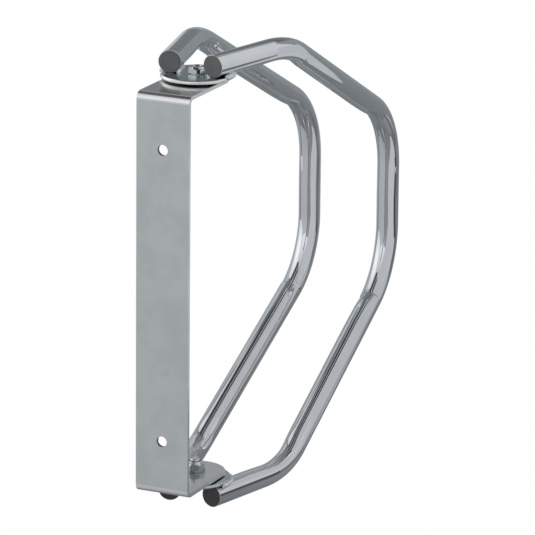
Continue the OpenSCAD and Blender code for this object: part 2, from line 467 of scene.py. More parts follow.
def hoop_corners(side):
    return [
        Vector((side * END_X, END_Y_TOP, END_Z)),
        Vector((side * ROOT_X, ROOT_Y, END_Z)),
        Vector((side * FRONT_X, FRONT_Y, FRONT_TOP_Z)),
        Vector((side * FRONT_X, FRONT_Y, FRONT_BOTTOM_Z)),
        Vector((side * ROOT_X, ROOT_Y, -END_Z)),
        Vector((side * END_X, END_Y_BOTTOM, -END_Z)),
    ]


def draw_straight(start, end):
    """Draws the open rim on from start to end, in steps that shorten towards both ends."""
    length = (end - start).length
    along = (end - start).normalized()
    fine_length = min(FINE_LENGTH, length / 2)
    shares = [(i / FINE_STEPS) ** STEP_GROWTH for i in range(FINE_STEPS + 1)]
    stops = [fine_length * share for share in shares]
    stops += [length - fine_length * share for share in reversed(shares)]
    for a, b in zip(stops, stops[1:]):
        if b - a > CLOSE:
            push(along * (b - a))


def bends_of(corners):
    """For each bend: its corner, the directions before and after, its turn, set-back, centre and radius."""
    found = []
    for i, radius in enumerate(BEND_RADII, start=1):
        before = (corners[i] - corners[i - 1]).normalized()
        after = (corners[i + 1] - corners[i]).normalized()
        turn = before.angle(after)
        setback = radius * math.tan(turn / 2)
        inward = (after - before * before.dot(after)).normalized()
        centre = corners[i] - before * setback + inward * radius
        found.append((corners[i], before, after, turn, setback, centre, radius))
    return found


def centre_line(corners):
    """Points of the centre line, each with the direction there, a side of the tube that follows the bend's
    centre, and the length so far. Then where each bend starts and stops, as lengths too."""
    line = []
    spans = []
    length = 0
    at = corners[0]
    for corner, before, after, turn, setback, centre, radius in bends_of(corners):
        tangent = corner - before * setback
        run = (tangent - at).length
        inward = (centre - tangent).normalized()
        count = max(2, int(run / LINE_STEP))
        for i in range(count):
            line.append((at + before * run * i / count, before, inward, length + run * i / count))
        length += run
        spans.append((length, length + turn * radius))
        axis = before.cross(after).normalized()
        count = max(2, int(turn * radius / LINE_STEP))
        for i in range(count):
            turned = Quaternion(axis, turn * i / count)
            line.append((centre + turned @ (tangent - centre), turned @ before,
                         turned @ inward, length + turn * radius * i / count))
        length += turn * radius
        at = corner + after * setback
    run = (corners[-1] - at).length
    count = int(run / LINE_STEP)
    for i in range(count + 1):
        line.append((at + after * run * i / count, after, inward, length + run * i / count))
    return line, spans


def make_hoop(name, side):
    """One tube: a rim drawn out along the straights and spun round the bends, with its ends turned in."""
    corners = hoop_corners(side)
    first = (corners[1] - corners[0]).normalized()
    last = (corners[-1] - corners[-2]).normalized()
    clear_selection()
    bpy.ops.mesh.primitive_circle_add(
        vertices=TUBE_SIDES, radius=TUBE_R, location=corners[0],
        rotation=first.to_track_quat('Z', 'Y').to_euler())
    piece = take(name)
    start_edit(piece, 'EDGE')
    bpy.ops.mesh.select_all(action='SELECT')
    at = corners[0]
    for corner, before, after, turn, setback, centre, radius in bends_of(corners):
        draw_straight(at, corner - before * setback)
        axis = before.cross(after).normalized()
        bpy.ops.mesh.spin(steps=BEND_STEPS, angle=-turn, center=tuple(centre), axis=tuple(axis))
        at = corner + after * setback
    draw_straight(at, corners[-1])
    end_edit()
    bore_share = BORE_R / TUBE_R
    for end, inwards in ((corners[0], first), (corners[-1], -last)):
        start_edit(piece, 'EDGE')
        pick_edges(piece, lambda a, b: abs((a - end).dot(inwards)) < CLOSE
                   and abs((b - end).dot(inwards)) < CLOSE
                   and (a - end).length < 2 * TUBE_R)
        push((0, 0, 0))
        bpy.ops.transform.resize(value=(bore_share, bore_share, bore_share), center_override=tuple(end))
        push(inwards * BORE_DEPTH)
        bpy.ops.mesh.edge_face_add()
        end_edit()
        bevel_edges(piece, lambda a, b: all(
            abs((corner - end).dot(inwards)) < CLOSE
            and abs((corner - end).length - TUBE_R) < CLOSE for corner in (a, b)), TUBE_END_EDGE, 3)
    merge_and_face_out(piece)
    return piece


def smooth_step(low, high, value):
    share = min(1.0, max(0.0, (value - low) / (high - low)))
    return share * share * (3 - 2 * share)


def bend_marks(spans, length, towards):
    """How much flattening and crease a place on the tube gets, by its length along the tube and how far it
    looks towards the bends' centres."""
    flatness = crease = 0.0
    inner = smooth_step(0.1, 1, towards)
    for (start, stop), mark in zip(spans, BEND_MARKS):
        sloping_side, ends_from, ends_at, fades_on, crease_at, creased = mark
        middle = (start + stop) / 2
        half = (stop - start) / 2
        reach = (length - middle) / half * sloping_side
        if abs(reach) > MARKS_END:
            continue
        if reach > 0:
            lasts = 1 - (1 - fades_on) * smooth_step(ends_from, ends_at, reach)
            lasts -= fades_on * smooth_step(ends_at, FLAT_FADE[1], reach)
        else:
            lasts = 1 - smooth_step(*FLAT_FADE, -reach)
        past = reach - crease_at
        edge = sum(share * math.exp(-(past / width) ** 2) for share, width in CREASE_PARTS)
        flatness = max(flatness, inner * lasts)
        crease = max(crease, inner * edge * creased)
    return flatness, crease


def mark_bends(piece, side):
    """Bending flattens a tube's inner side and leaves creases at the front bends. Each point also keeps its
    place on the tube, for the mill lines."""
    line, spans = centre_line(hoop_corners(side))
    tree = KDTree(len(line))
    for i, point in enumerate(line):
        tree.insert(point[0], i)
    tree.balance()
    flat = piece.vertex_groups.new(name="flattened")
    creases = piece.vertex_groups.new(name="creases")
    places = []
    for vertex in piece.data.vertices:
        place, along, inward, length = line[tree.find(vertex.co)[1]]
        out = vertex.co - place
        length += out.dot(along)
        out -= along * out.dot(along)
        if out.length > 0.001:
            out.normalize()
        towards = out.dot(inward)
        places += [towards, out.dot(along.cross(inward)), length]
        inside_bore = (vertex.co - place).length < TUBE_R - 0.0012
        flatness, crease = (0, 0) if inside_bore else bend_marks(spans, length, towards)
        for group, weight in ((flat, flatness), (creases, crease)):
            if weight > 0.001:
                group.add([vertex.index], weight, 'REPLACE')
    place_on_tube = piece.data.attributes.new("tube_place", 'FLOAT_VECTOR', 'POINT')
    place_on_tube.data.foreach_set("vector", places)
    for group, depth in (("flattened", FLAT_DEPTH), ("creases", CREASE_DEPTH)):
        dent = piece.modifiers.new(name=group, type='DISPLACE')
        dent.vertex_group = group
        dent.mid_level = 0
        dent.strength = -depth
        dent.direction = 'NORMAL'
    apply_modifiers(piece)
    piece.vertex_groups.clear()
    smooth(piece, 40)


# Plugs

def make_plug(name, end, inwards):
    """A moulded plug: a thin head with a rounded rim and a shallow dish, and a ribbed shank."""
    piece = cylinder(name, PLUG_HEAD_R, PLUG_HEAD_T, end - inwards * PLUG_HEAD_T / 2, 72,
                     inwards.to_track_quat('Z', 'Y').to_euler())
    face_at = end - inwards * PLUG_HEAD_T
    bevel_edges(piece, lambda a, b: abs((a - face_at).dot(inwards)) < CLOSE
                and abs((b - face_at).dot(inwards)) < CLOSE, PLUG_EDGE, 4)
    start_edit(piece)
    pick_faces(piece, lambda place, normal: normal.dot(inwards) < -0.99)
    for width, depth in PLUG_FACE:
        bpy.ops.mesh.inset(thickness=width, depth=depth)
    end_edit()
    start_edit(piece)
    pick_faces(piece, lambda place, normal: normal.dot(inwards) > 0.99)
    bpy.ops.mesh.inset(thickness=PLUG_HEAD_R - PLUG_SHANK_R, depth=0)
    pitch = PLUG_SHANK_LEN / (RIBS + 1)
    between = [RIB_W, pitch - RIB_W] * (RIBS - 1)
    for length in [pitch - RIB_W / 2] + between + [RIB_W, pitch - RIB_W / 2]:
        push(inwards * length)
    end_edit()
    start_edit(piece)
    pick_faces(piece, lambda place, normal: abs(normal.dot(inwards)) < 0.3
               and (place - end).dot(inwards) > pitch / 2
               and ((place - end).dot(inwards) / pitch) % 1 < 0.01)
    bpy.ops.mesh.extrude_region_shrink_fatten(TRANSFORM_OT_shrink_fatten={"value": RIB_H})
    end_edit()
    merge_and_face_out(piece)
    smooth(piece, 35)
    even_normals(piece)
    # All of the plug but its outer face gets a painted shade: its rim and sides are darker.
    mark_faces(piece, "painted_shade_plug_edge", lambda place, normal: normal.dot(inwards) > -0.97)
    return piece


# Bolts and nuts

def hexagon(name, z, height, turn, top_r, corner_h):
    """A hexagon prism round the pivot with its upper corners turned off, over the height corner_h."""
    corner_r = HEX_AF / 2 / math.cos(math.radians(30))
    middle_z = z + height / 2
    piece = cylinder(name, corner_r, height, (0, PIVOT_Y, middle_z), 6, (0, 0, math.radians(turn + 30)))
    bevel_edges(piece, lambda a, b: abs(a.z - b.z) > height / 2, HEX_EDGE, 2)
    slope = (corner_r - top_r) / corner_h
    boolean(piece, cone("turned_cone", top_r + slope * height, top_r, height, middle_z, 96), 'INTERSECT')
    return piece


def make_bolt(name):
    """Head on a round washer face with a shallow dish on top, and a shank with a rounded end."""
    head = hexagon(name, HEAD_Z[0] + FACE_H, HEAD_Z[1] - HEAD_Z[0] - FACE_H, HEAD_TURN,
                   HEAD_TOP_R, HEAD_CORNER_H)
    face_h = FACE_H + FACE_LAP
    boolean(head, cylinder("washer_face", FACE_R, face_h, (0, PIVOT_Y, HEAD_Z[0] + face_h / 2), 96), 'UNION')
    boolean(head, cone("dish", DISH_LOW_R, DISH_HIGH_R, DISH_H, HEAD_Z[1] + DISH_RISE, 72), 'DIFFERENCE')
    length = HEAD_Z[0] - BOLT_END_Z + SHANK_LAP
    shank = cylinder("shank", BOLT_R, length, (0, PIVOT_Y, BOLT_END_Z + length / 2), 64)
    bevel_edges(shank, lambda a, b: abs(a.z - BOLT_END_Z) < CLOSE and abs(b.z - BOLT_END_Z) < CLOSE,
                SHANK_EDGE, 5)
    boolean(head, shank, 'UNION')
    round_edges(head, HEAD_EDGE, 25, 2)
    smooth(head, 28)
    even_normals(head)
    return head


def make_lock_nut(name):
    """A hexagon with a round collar that is rolled over the nylon ring."""
    nut = hexagon(name, -WASHER_Z[0], NUT_HEX_H, NUT_TURN, NUT_TOP_R, NUT_CORNER_H)
    collar_h = NUT_Z[1] - NUT_Z[0] - COLLAR_START
    collar_z = -WASHER_Z[0] + COLLAR_START + collar_h / 2
    collar = cylinder("collar", COLLAR_R, collar_h, (0, PIVOT_Y, collar_z), 72)
    top = -NUT_Z[0]
    bevel_edges(collar, lambda a, b: abs(a.z - top) < CLOSE and abs(b.z - top) < CLOSE, COLLAR_EDGE, 4)
    boolean(nut, collar, 'UNION')
    seat_z = top - RING_H + SEAT_DRILL / 2
    boolean(nut, cylinder("ring_seat", COLLAR_BORE_R, SEAT_DRILL, (0, PIVOT_Y, seat_z), 72), 'DIFFERENCE')
    boolean(nut, cylinder("bore", BOLT_R + SNUG, NUT_DRILL, (0, PIVOT_Y, top), 64), 'DIFFERENCE')
    round_edges(nut, NUT_EDGE, 25, 2)
    smooth(nut, 28)
    even_normals(nut)
    # The hexagon's sides get a painted shade, darker than the collar and the turned corners.
    pivot = Vector((0, PIVOT_Y))
    mark_faces(nut, "painted_shade_hexagon_side", lambda place, normal:
               abs(normal.z) < 0.3 and (place.xy - pivot).length > COLLAR_R + 0.0001)
    return nut


# Weld beads

def lay_bead(name, path):
    """A row of overlapping ripples along a path, melted into one bead."""
    clear_selection()
    ripples = []
    for place, along, up in path:
        grow = 1 + random.uniform(*RIPPLE_SIZES)
        across = along.cross(up).normalized()
        turn = Matrix((along, across, along.cross(across) * -1)).transposed().to_quaternion()
        lean = Quaternion(across, math.radians(RIPPLE_LEAN))
        bpy.ops.mesh.primitive_uv_sphere_add(
            segments=20, ring_count=12, radius=BEAD_R * grow,
            location=place + across * random.uniform(-RIPPLE_DRIFT, RIPPLE_DRIFT),
            rotation=(lean @ turn).to_euler())
        ripple = bpy.context.active_object
        ripple.scale = RIPPLE_SHAPE
        ripples.append(ripple)
    joined(ripples)
    piece = take(name)
    melt = piece.modifiers.new(name="melted", type='REMESH')
    melt.mode = 'VOXEL'
    melt.voxel_size = MELT_GRAIN
    soften = piece.modifiers.new(name="softened", type='SMOOTH')
    soften.factor = 0.5
    soften.iterations = 2
    apply_modifiers(piece)
    merge_and_face_out(piece)
    smooth(piece, 180)
    return piece


def make_welds(name, side, past_y):
    """One bead along the tube's inner side, and one along the disc's rim."""
    start = Vector((side * END_X, past_y, DISC_Z[1]))
    root = Vector((side * ROOT_X, ROOT_Y, DISC_Z[1]))
    along = (root - start).normalized()
    up = Vector((0, 0, 1))
    inner = up.cross(along) * side
    if inner.x * side > 0:
        inner = -inner
    path = []
    for i in range(STRAIGHT_RIPPLES + 1):
        reach = STRAIGHT_START + STRAIGHT_LEN * i / STRAIGHT_RIPPLES
        path.append((start + along * reach + inner * STRAIGHT_IN + up * STRAIGHT_UP, along, up))
    straight = lay_bead(name, path)
    pivot = Vector((0, PIVOT_Y, DISC_Z[1]))
    offset = start - pivot
    ahead = offset.dot(along)
    reach = math.sqrt(ahead ** 2 - offset.length_squared + RIM_BEAD_R ** 2) - ahead
    crossing = offset + along * reach
    middle = math.atan2(-crossing.y, crossing.x * side)
    path = []
    for i in range(RIM_RIPPLES + 1):
        angle = middle + math.radians(RIM_INNER - RIM_ARC * i / RIM_RIPPLES)
        out = Vector((side * math.cos(angle), -math.sin(angle), 0))
        round_rim = Vector((side * math.sin(angle), math.cos(angle), 0))
        path.append((pivot + out * RIM_BEAD_R, round_rim, up))
    return joined([straight, lay_bead(name + "_rim", path)])


# Shader node groups

def new_group(name, inputs, outputs):
    group = bpy.data.node_groups.new(name, 'ShaderNodeTree')
    for label, kind, default in inputs:
        socket = group.interface.new_socket(name=label, in_out='INPUT', socket_type=kind)
        if default is not None:
            socket.default_value = default
    for label, kind in outputs:
        group.interface.new_socket(name=label, in_out='OUTPUT', socket_type=kind)
    start = group.nodes.new('NodeGroupInput')
    end = group.nodes.new('NodeGroupOutput')
    start.location = (-700, 0)
    end.location = (700, 0)
    return group, start, end


def set_inputs(node, values):
    for socket, value in values.items():
        node.inputs[socket].default_value = value


def add(tree, kind, x, y, values=None, **settings):
    """A new node, with its settings and the values of its inputs."""
    node = tree.nodes.new(kind)
    node.location = (x, y)
    for name, value in settings.items():
        setattr(node, name, value)
    set_inputs(node, values or {})
    return node


def link(tree, source, output, target, socket):
    tree.links.new(source.outputs[output], target.inputs[socket])


def cloud_group():
    """Patches where the plating came out a little lighter or greyer."""
    group, start, end = new_group("plating clouds", [
        ("Vector", 'NodeSocketVector', None),
        ("Patches per metre", 'NodeSocketFloat', 30.0),
        ("Colour", 'NodeSocketColor', (0.7, 0.7, 0.7, 1)),
        ("Patch colour", 'NodeSocketColor', (0.6, 0.6, 0.6, 1)),
        ("Strength", 'NodeSocketFloat', 0.5),
    ], [("Colour", 'NodeSocketColor'), ("Mask", 'NodeSocketFloat')])
    noise = add(group, 'ShaderNodeTexNoise', -450, 100, {"Detail": 4, "Roughness": 0.55})
    spread = add(group, 'ShaderNodeMapRange', -200, 100,
                 {"From Min": 0.36, "From Max": 0.66}, interpolation_type='SMOOTHSTEP')
    share = add(group, 'ShaderNodeMath', 50, 100, operation='MULTIPLY')
    mix = add(group, 'ShaderNodeMix', 300, 0, data_type='RGBA')
    link(group, start, "Vector", noise, "Vector")
    link(group, start, "Patches per metre", noise, "Scale")
    link(group, noise, 0, spread, "Value")
    link(group, spread, 0, share, 0)
    link(group, start, "Strength", share, 1)
    link(group, share, 0, mix, 0)
    link(group, start, "Colour", mix, 6)
    link(group, start, "Patch colour", mix, 7)
    link(group, mix, 2, end, "Colour")
    link(group, spread, 0, end, "Mask")
    return group


def streak_group():
    """Fine lines that rolling or drawing leaves along the metal, over slow waves of its surface."""
    group, start, end = new_group("mill lines", [
        ("Vector", 'NodeSocketVector', None),
        ("Lines per metre", 'NodeSocketFloat', 900.0),
        ("Waves per metre", 'NodeSocketFloat', 90.0),
        ("Line share", 'NodeSocketFloat', 0.3),
        ("Line detail", 'NodeSocketFloat', 3.0),
    ], [("Height", 'NodeSocketFloat'), ("Lines", 'NodeSocketFloat')])
    lines = add(group, 'ShaderNodeTexNoise', -450, 150, {"Roughness": 0.65})
    waves = add(group, 'ShaderNodeTexNoise', -450, -150, {"Detail": 1})
    mix = add(group, 'ShaderNodeMix', 100, 0, data_type='FLOAT')
    link(group, start, "Vector", lines, "Vector")
    link(group, start, "Vector", waves, "Vector")
    link(group, start, "Lines per metre", lines, "Scale")
    link(group, start, "Line detail", lines, "Detail")
    link(group, start, "Waves per metre", waves, "Scale")
    link(group, start, "Line share", mix, 0)
    link(group, waves, 0, mix, 2)
    link(group, lines, 0, mix, 3)
    link(group, mix, 0, end, "Height")
    link(group, lines, 0, end, "Lines")
    return group


def scratch_group():
    """Sparse hairline scratches and smudges from handling."""
    group, start, end = new_group("handling marks", [
        ("Vector", 'NodeSocketVector', None),
        ("Marks per metre", 'NodeSocketFloat', 60.0),
        ("Amount", 'NodeSocketFloat', 0.5),
    ], [("Mask", 'NodeSocketFloat')])
    stretch = add(group, 'ShaderNodeMapping', -500, 150,
                  {"Rotation": (0.4, 0.3, 0.9), "Scale": (1, 14, 1)})
    hair = add(group, 'ShaderNodeTexVoronoi', -280, 150, feature='DISTANCE_TO_EDGE')
    thin = add(group, 'ShaderNodeMapRange', -80, 150,
               {"From Min": 0.0, "From Max": 0.02, "To Min": 1.0, "To Max": 0.0})
    smudge = add(group, 'ShaderNodeTexNoise', -280, -150, {"Detail": 3})
    where = add(group, 'ShaderNodeMapRange', -80, -150,
                {"From Min": 0.5, "From Max": 0.75}, interpolation_type='SMOOTHSTEP')
    both = add(group, 'ShaderNodeMath', 140, 150, operation='MULTIPLY')
    total = add(group, 'ShaderNodeMath', 320, 0, {1: 0.6}, operation='MULTIPLY_ADD')
    scaled = add(group, 'ShaderNodeMath', 500, 0, operation='MULTIPLY', use_clamp=True)
    link(group, start, "Vector", stretch, "Vector")
    link(group, stretch, 0, hair, "Vector")
    link(group, start, "Marks per metre", hair, "Scale")
    link(group, hair, "Distance", thin, "Value")
    link(group, start, "Vector", smudge, "Vector")
    link(group, start, "Marks per metre", smudge, "Scale")
    link(group, smudge, 0, where, "Value")
    link(group, thin, 0, both, 0)
    link(group, where, 0, both, 1)
    link(group, where, 0, total, 0)
    link(group, both, 0, total, 2)
    link(group, total, 0, scaled, 0)
    link(group, start, "Amount", scaled, 1)
    link(group, scaled, 0, end, "Mask")
    return group


def edge_group():
    """Outer edges that rubbing has polished."""
    group, start, end = new_group("rubbed edges", [
        ("Amount", 'NodeSocketFloat', 0.5),
    ], [("Mask", 'NodeSocketFloat')])
    shape = add(group, 'ShaderNodeNewGeometry', -450, 0)
    sharp = add(group, 'ShaderNodeMapRange', -200, 0,
                {"From Min": 0.53, "From Max": 0.62}, interpolation_type='SMOOTHSTEP')
    share = add(group, 'ShaderNodeMath', 100, 0, operation='MULTIPLY', use_clamp=True)
    link(group, shape, "Pointiness", sharp, "Value")
    link(group, sharp, 0, share, 0)
    link(group, start, "Amount", share, 1)
    link(group, share, 0, end, "Mask")
    return group


clouds = cloud_group()
streaks = streak_group()
scratches = scratch_group()
edges = edge_group()


# Materials

def new_material(name):
    """A material with nodes, its node tree and its surface node."""
    material = bpy.data.materials.new(name)
    material.use_nodes = True
    return material, material.node_tree, material.node_tree.nodes["Principled BSDF"]


def place_group(tree, group, x, y, **values):
    """A group's node. In the names of its inputs an underscore stands for a space."""
    inputs = {label.replace("_", " "): value for label, value in values.items()}
    return add(tree, 'ShaderNodeGroup', x, y, inputs, node_tree=group)


def raise_lines(tree, lines, depth, surface):
    """Gives the surface relief from a group's lines."""
    bump = add(tree, 'ShaderNodeBump', -300, -250, {"Strength": 1, "Distance": depth})
    link(tree, lines, "Height", bump, "Height")
    link(tree, bump, 0, surface, "Normal")


def colour_marked(tree, shown, marked):
    """Paints light and shade on marked faces as a colour of their own: pairs of a face attribute and its
    colour.
    """
    for row, (attribute, its_colour) in enumerate(marked):
        where_marked = add(tree, 'ShaderNodeAttribute', -450, 560 + 200 * row, attribute_name=attribute)
        marked_mix = add(tree, 'ShaderNodeMix', -200, 400 + 200 * row,
                         {7: (*its_colour, 1)}, data_type='RGBA')
        link(tree, where_marked, "Fac", marked_mix, 0)
        tree.links.new(shown, marked_mix.inputs[6])
        shown = marked_mix.outputs[2]
    return shown


def zinc(name, colour, patch_colour, roughness, marked_roughness, patches, lines, waves,
         line_share, depth, marks, stretch=(1, 1, 1), along_tube=False, rub=0.5, marked=(),
         grazing_tint=(1, 1, 1)):
    """Electroplated zinc: patchy colour, mill lines, handling marks, rubbed edges and marked faces, whose
    colours are painted light and shade.
    """
    material, tree, surface = new_material(name)
    set_inputs(surface, {"Metallic": 1, "Specular Tint": (*grazing_tint, 1)})
    if along_tube:
        place = add(tree, 'ShaderNodeAttribute', -1300, 0, attribute_name="tube_place")
        where = place.outputs["Vector"]
    else:
        place = add(tree, 'ShaderNodeTexCoord', -1300, 0)
        where = place.outputs["Object"]
    drawn = add(tree, 'ShaderNodeMapping', -1100, -250, {"Scale": stretch})
    tree.links.new(where, drawn.inputs["Vector"])
    object_place = add(tree, 'ShaderNodeTexCoord', -1300, 250)
    patchy = place_group(tree, clouds, -800, 250, Patches_per_metre=patches,
                         Colour=(*colour, 1), Patch_colour=(*patch_colour, 1), Strength=0.8)
    link(tree, object_place, "Object", patchy, "Vector")
    mill = place_group(tree, streaks, -800, -250, Lines_per_metre=lines, Waves_per_metre=waves,
                       Line_share=line_share, Line_detail=0.5 if along_tube else 3.0)
    link(tree, drawn, 0, mill, "Vector")
    handled = place_group(tree, scratches, -800, 0, Marks_per_metre=45.0, Amount=marks)
    link(tree, object_place, "Object", handled, "Vector")
    rubbed = place_group(tree, edges, -800, 480, Amount=rub)
    bright = add(tree, 'ShaderNodeMix', -450, 300, {7: (0.88, 0.89, 0.90, 1)}, data_type='RGBA')
    link(tree, rubbed, "Mask", bright, 0)
    link(tree, patchy, "Colour", bright, 6)
    tree.links.new(colour_marked(tree, bright.outputs[2], marked), surface.inputs["Base Color"])
    uneven = add(tree, 'ShaderNodeMath', -560, 40, {1: 0.35}, operation='MULTIPLY_ADD')
    link(tree, patchy, "Mask", uneven, 0)
    link(tree, handled, "Mask", uneven, 2)
    dull = add(tree, 'ShaderNodeMapRange', -380, 40, {"To Min": roughness, "To Max": marked_roughness})
    link(tree, uneven, 0, dull, "Value")
    link(tree, dull, 0, surface, "Roughness")
    raise_lines(tree, mill, depth, surface)
    return material


def plastic(name, colour, pale_colour, roughness, grain_depth, marked=()):
    """Moulded plastic: a fine grain, faint flow marks and marked faces, whose colours are painted shade."""
    material, tree, surface = new_material(name)
    place = add(tree, 'ShaderNodeTexCoord', -1100, 0)
    patchy = place_group(tree, clouds, -800, 200, Patches_per_metre=140.0,
                         Colour=(*colour, 1), Patch_colour=(*pale_colour, 1), Strength=0.6)
    link(tree, place, "Object", patchy, "Vector")
    tree.links.new(colour_marked(tree, patchy.outputs["Colour"], marked), surface.inputs["Base Color"])
    grain = place_group(tree, streaks, -800, -200, Lines_per_metre=2500.0, Waves_per_metre=500.0,
                        Line_share=0.6)
    link(tree, place, "Object", grain, "Vector")
    dull = add(tree, 'ShaderNodeMapRange', -450, 0,
               {"To Min": roughness - 0.06, "To Max": roughness + 0.08})
    link(tree, grain, "Lines", dull, "Value")
    link(tree, dull, 0, surface, "Roughness")
    raise_lines(tree, grain, grain_depth, surface)
    return material


tube_zinc = zinc(
    "tube zinc", colour=(0.81, 0.83, 0.86), patch_colour=(0.765, 0.79, 0.82),
    roughness=0.01, marked_roughness=0.05, patches=40.0, lines=4.0, waves=1.2, line_share=0.25,
    depth=0.00002, marks=0.15, rub=0.2, stretch=(1, 1, 2), along_tube=True,
    grazing_tint=(0.90, 0.99, 1.0))
# The bracket's marked faces: a painted shade in the screw holes' walls and a painted highlight on the outer
# side of the bends.
bracket_zinc = zinc(
    "bracket zinc", colour=(0.75, 0.785, 0.78), patch_colour=(0.665, 0.705, 0.70),
    roughness=0.15, marked_roughness=0.26, patches=35.0, lines=900.0, waves=120.0, line_share=0.6,
    depth=0.000003, marks=0.25, rub=0.8, stretch=(1, 1, 0.05),
    marked=(("painted_shade_hole_wall", (0.16, 0.16, 0.16)), ("bright_edge", (0.90, 0.91, 0.93))))
# The discs' marked rims get a painted highlight.
disc_zinc = zinc(
    "disc zinc", colour=(0.54, 0.60, 0.60), patch_colour=(0.47, 0.54, 0.54),
    roughness=0.18, marked_roughness=0.30, patches=60.0, lines=1200.0, waves=120.0, line_share=0.4,
    depth=0.000004, marks=0.4, rub=0.8, marked=(("rim", (0.95, 0.95, 0.94)),))
weld_zinc = zinc(
    "weld zinc", colour=(0.92, 0.93, 0.94), patch_colour=(0.78, 0.80, 0.81),
    roughness=0.26, marked_roughness=0.42, patches=300.0, lines=1500.0, waves=500.0, line_share=0.4,
    depth=0.00003, marks=0.4, rub=0.6)
# The nuts' marked hexagon sides are painted shade.
fastener_zinc = zinc(
    "fastener zinc", colour=(0.84, 0.85, 0.86), patch_colour=(0.74, 0.77, 0.79),
    roughness=0.07, marked_roughness=0.18, patches=200.0, lines=2500.0, waves=400.0, line_share=0.4,
    depth=0.000004, marks=0.3, rub=0.5, marked=(("painted_shade_hexagon_side", (0.42, 0.44, 0.44)),))
# The rims of the washers and spacers are marked with a painted shade, a dark line round their edges.
washer_zinc = zinc(
    "washer zinc", colour=(0.70, 0.72, 0.72), patch_colour=(0.60, 0.63, 0.63),
    roughness=0.22, marked_roughness=0.38, patches=120.0, lines=2500.0, waves=400.0, line_share=0.4,
    depth=0.000004, marks=0.3, rub=0.5, marked=(("rim", (0.36, 0.37, 0.37)),))
# One black plastic in two copies: the upper plugs' colours are lighter, painted light, and the lower plugs'
# darker, painted shade.
plug_top_lit_plastic = plastic(
    "upper plug plastic", colour=(0.108, 0.108, 0.109), pale_colour=(0.128, 0.129, 0.129),
    roughness=0.5, grain_depth=0.00002, marked=(("painted_shade_plug_edge", (0.045, 0.045, 0.045)),))
plug_bottom_shaded_plastic = plastic(
    "lower plug plastic", colour=(0.034, 0.034, 0.034), pale_colour=(0.042, 0.042, 0.042),
    roughness=0.5, grain_depth=0.00002, marked=(("painted_shade_plug_edge", (0.016, 0.016, 0.016)),))
nylon_plastic = plastic(
    "nylon plastic", colour=(0.09, 0.10, 0.11), pale_colour=(0.12, 0.13, 0.14),
    roughness=0.4, grain_depth=0.00001)


# Putting the rack together

fit_out(make_bracket(), "bracket", bracket_zinc, "wall_bracket")

right_hoop = make_hoop("right_tube_hoop", -1)
mark_bends(right_hoop, -1)
left_hoop = mirrored(right_hoop, "left_tube_hoop", LEFT_TO_RIGHT)
fit_out(right_hoop, "rack", tube_zinc, "right_hoop")
fit_out(left_hoop, "rack", tube_zinc, "left_hoop")


# Body, slot, material and solid of each piece in a stack
STACK = (
    ("rack", "disc_zinc", disc_zinc, "_disc"),
    ("bracket", "washer_zinc", washer_zinc, "_spacer"),
    ("bracket", "washer_zinc", washer_zinc, "_nut_washer"),
    ("bracket", "nylon", nylon_plastic, "_nylon_ring"),
    ("bracket", "fastener_zinc", fastener_zinc, "_bolt"),
    ("bracket", "fastener_zinc", fastener_zinc, "_lock_nut"),
)
upper = [
    turned_ring("upper_disc", DISC_BORE_R, DISC_R, *DISC_Z, DISC_EDGE, segments=8),
    turned_ring("upper_spacer", PIVOT_HOLE_R, SPACER_R, *SPACER_Z, SPACER_EDGE),
    turned_ring("upper_nut_washer", PIVOT_HOLE_R, WASHER_R, *WASHER_Z, WASHER_EDGE),
    turned_ring("upper_nylon_ring", BOLT_R + SNUG, COLLAR_BORE_R - SNUG,
                NUT_Z[0] + SNUG, NUT_Z[0] + RING_H, WASHER_EDGE),
    make_bolt("upper_pivot_bolt"),
]
nut = make_lock_nut("lower_lock_nut")


def fit_out_stack(end, pieces):
    for piece, (body, slot, material, solid) in zip(pieces, STACK):
        fit_out(piece, body, material, end + solid)


fit_out_stack("top", [*upper, mirrored(nut, "upper_lock_nut", UPSIDE_DOWN)])
lower = [mirrored(piece, piece.name.replace("upper", "lower"), UPSIDE_DOWN) for piece in upper]
# The lower disc's rim keeps a quarter of the upper disc's painted highlight.
weaken_painted_rim_mark(lower[0], 0.25)
fit_out_stack("bottom", [*lower, nut])

# The upper plugs take the lit copy of the plug plastic, the lower ones the shaded copy.
for word, z, past, painted_light_plastic in (
        ("top", 1, END_Y_TOP, plug_top_lit_plastic), ("bottom", -1, END_Y_BOTTOM, plug_bottom_shaded_plastic)):
    end = Vector((-END_X, past, z * END_Z))
    root = Vector((-ROOT_X, ROOT_Y, z * END_Z))
    plug = make_plug("right_" + word + "_end_plug", end, (root - end).normalized())
    other = mirrored(plug, "left_" + word + "_end_plug", LEFT_TO_RIGHT)
    fit_out(plug, "rack", painted_light_plastic, "right_" + word + "_plug")
    fit_out(other, "rack", painted_light_plastic, "left_" + word + "_plug")
    # Beads are laid on the upper disc, and turned over for the lower one
    name = "right_" + word + "_weld_beads"
    weld = make_welds(name, -1, past)
    if z < 0:
        turned_over = mirrored(weld, name + "_turned", UPSIDE_DOWN)
        bpy.data.objects.remove(weld)
        weld = turned_over
        weld.name = name
    other = mirrored(weld, "left_" + word + "_weld_beads", LEFT_TO_RIGHT)
    fit_out(weld, "rack", weld_zinc, "right_" + word + "_welds")
    fit_out(other, "rack", weld_zinc, "left_" + word + "_welds")


# Camera at the photograph's view

CAMERA_TURN = 205.0
CAMERA_RISE = 16.1
CAMERA_ROLL = 0.58
CAMERA_REACH = 3.476
CAMERA_LENS = 305.5
CAMERA_AIM = Vector((0, -0.060, -0.0075))
